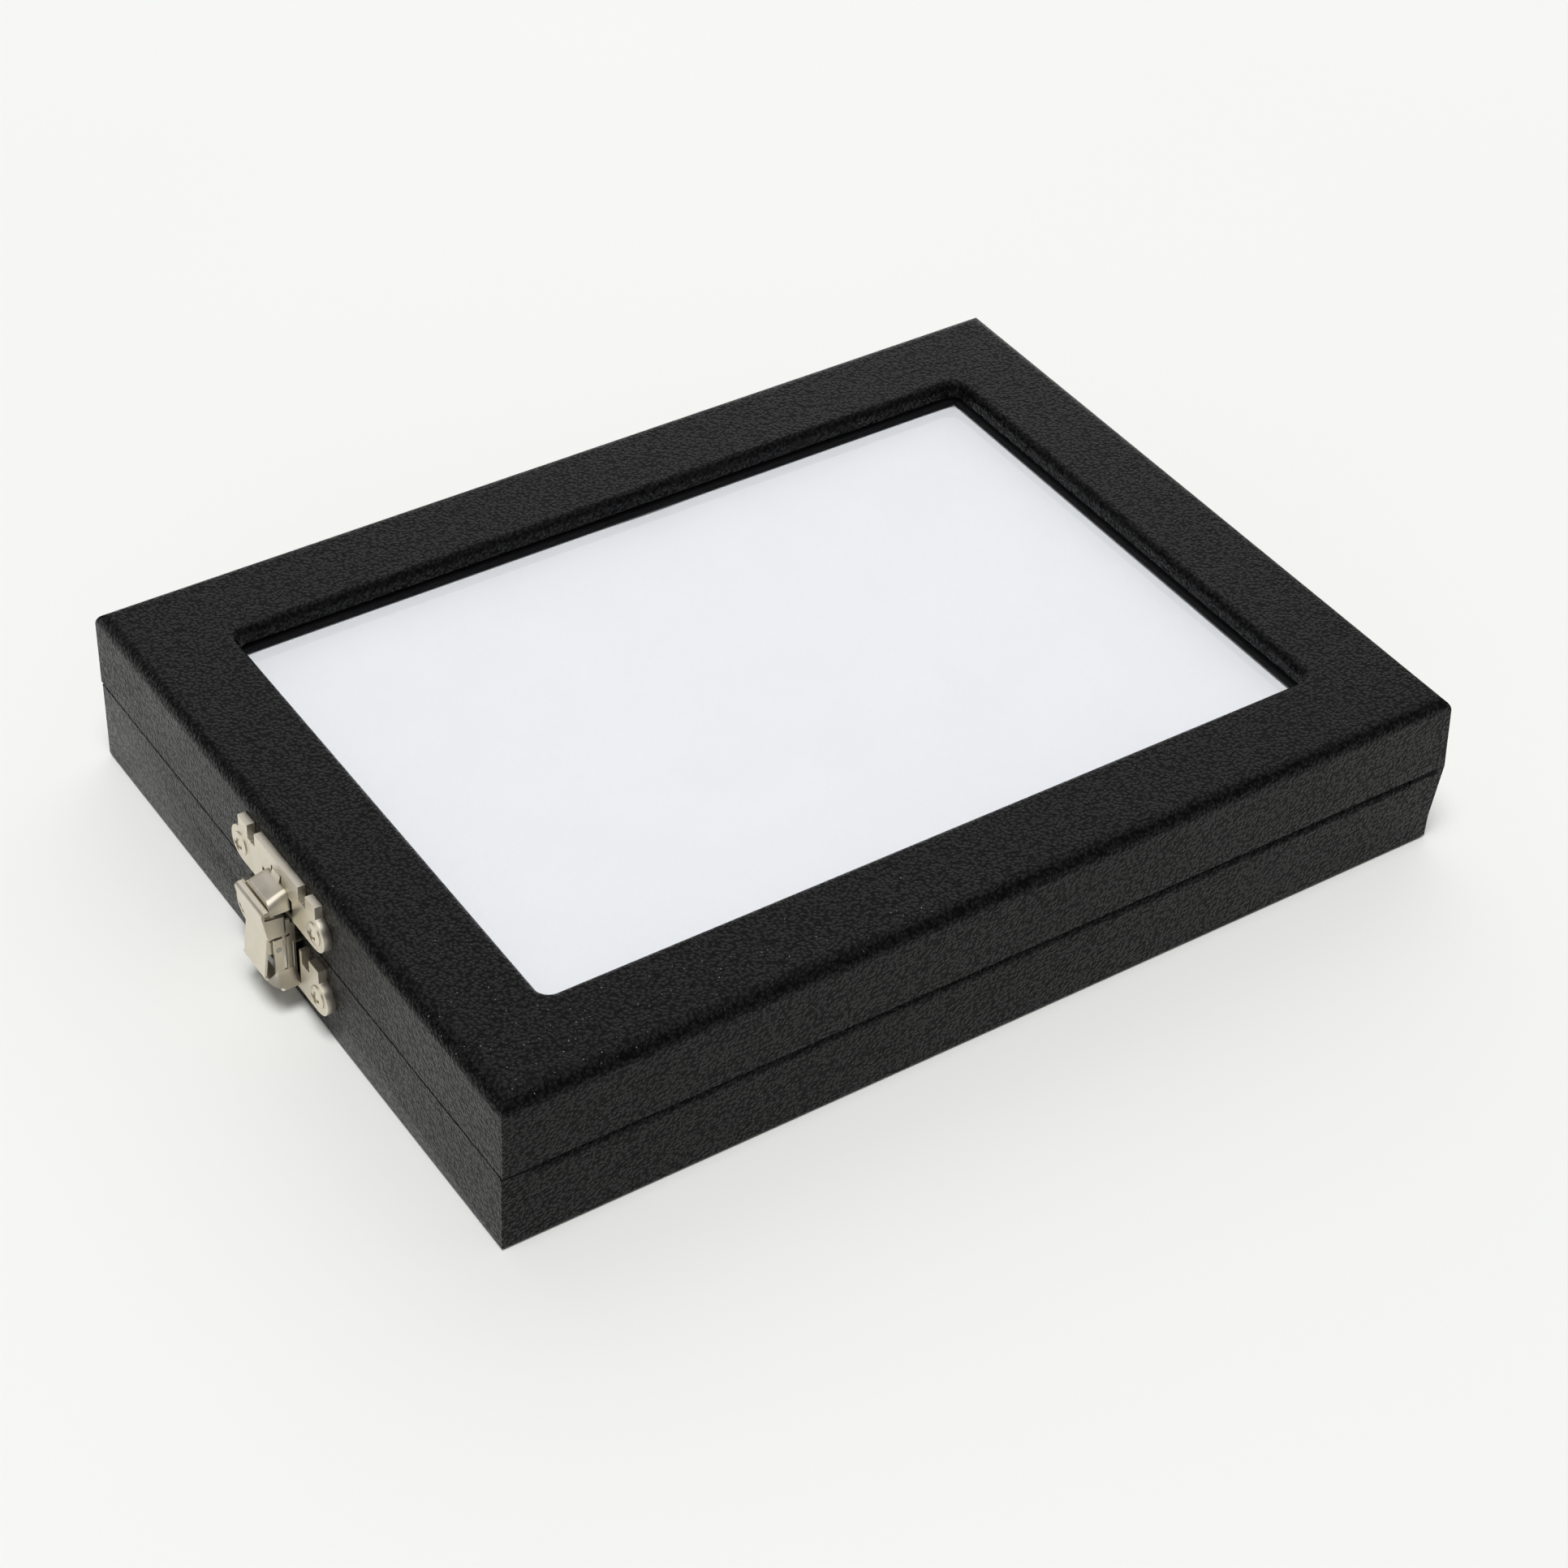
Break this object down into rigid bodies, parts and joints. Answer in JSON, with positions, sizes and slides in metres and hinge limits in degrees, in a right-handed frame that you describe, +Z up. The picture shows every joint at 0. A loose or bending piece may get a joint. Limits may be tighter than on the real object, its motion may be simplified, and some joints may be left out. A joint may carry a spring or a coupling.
{
  "type": "gemstone display box",
  "caption": "Flat hinged display case covered in black grained leatherette, with a glass window in the lid, a white foam pad inside and a sprung metal press catch at the front.",
  "frame": {"origin": "centre of the underside", "axes": "+X to the right seen from the front, +Y from the catch to the hinges, +Z up"},
  "size_m": [0.15, 0.2131, 0.034],
  "materials": {
    "board": "plain fibreboard",
    "stained": "black-stained fibreboard",
    "covering": "black leatherette with a fine pebbled grain",
    "backing": "matt black sheet",
    "lining": "matt black lining",
    "retainer": "matt black",
    "foam": "white fine-celled foam",
    "glass": "clear, polished",
    "nickel": "bright nickel plate",
    "steel": "plain wire"
  },
  "bodies": {
    "base": {"base_floor": "board", "base_front": "board", "base_back": "board", "base_left": "board", "base_right": "board", "base_wrap": "covering", "base_underside": "backing", "base_lining": "lining", "foam_pad": "foam", "catch_plate": "nickel", "catch_pin": "steel", "catch_spring": "steel", "catch_screws": "nickel", "base_leaf_left": "nickel", "base_leaf_right": "nickel", "hinge_pins": "steel", "base_hinge_screws": "nickel"},
    "lid": {"lid_front": "board", "lid_back": "board", "lid_left": "board", "lid_right": "board", "lid_top": "stained", "lid_wrap": "covering", "glass_pane": "glass", "glass_retainers": "retainer", "lid_lining": "lining", "strike_plate": "nickel", "strike_screws": "nickel", "lid_leaf_left": "nickel", "lid_leaf_right": "nickel", "lid_hinge_screws": "nickel"},
    "lever": {"catch_lever": "nickel"}
  },
  "joints": [
    {"name": "lid_hinge", "type": "hinge", "parent": "base", "child": "lid", "pos_m": [0, 0.103, 0.0172], "axis": [-1, 0, 0], "range_deg": [0, 180]},
    {"name": "lever_pivot", "type": "hinge", "parent": "base", "child": "lever", "pos_m": [0, -0.1053, 0.0144], "axis": [1, 0, 0], "range_deg": [0, 7], "stiffness_Nm_per_rad": 0.05, "springref_deg": -5.73}
  ]
}
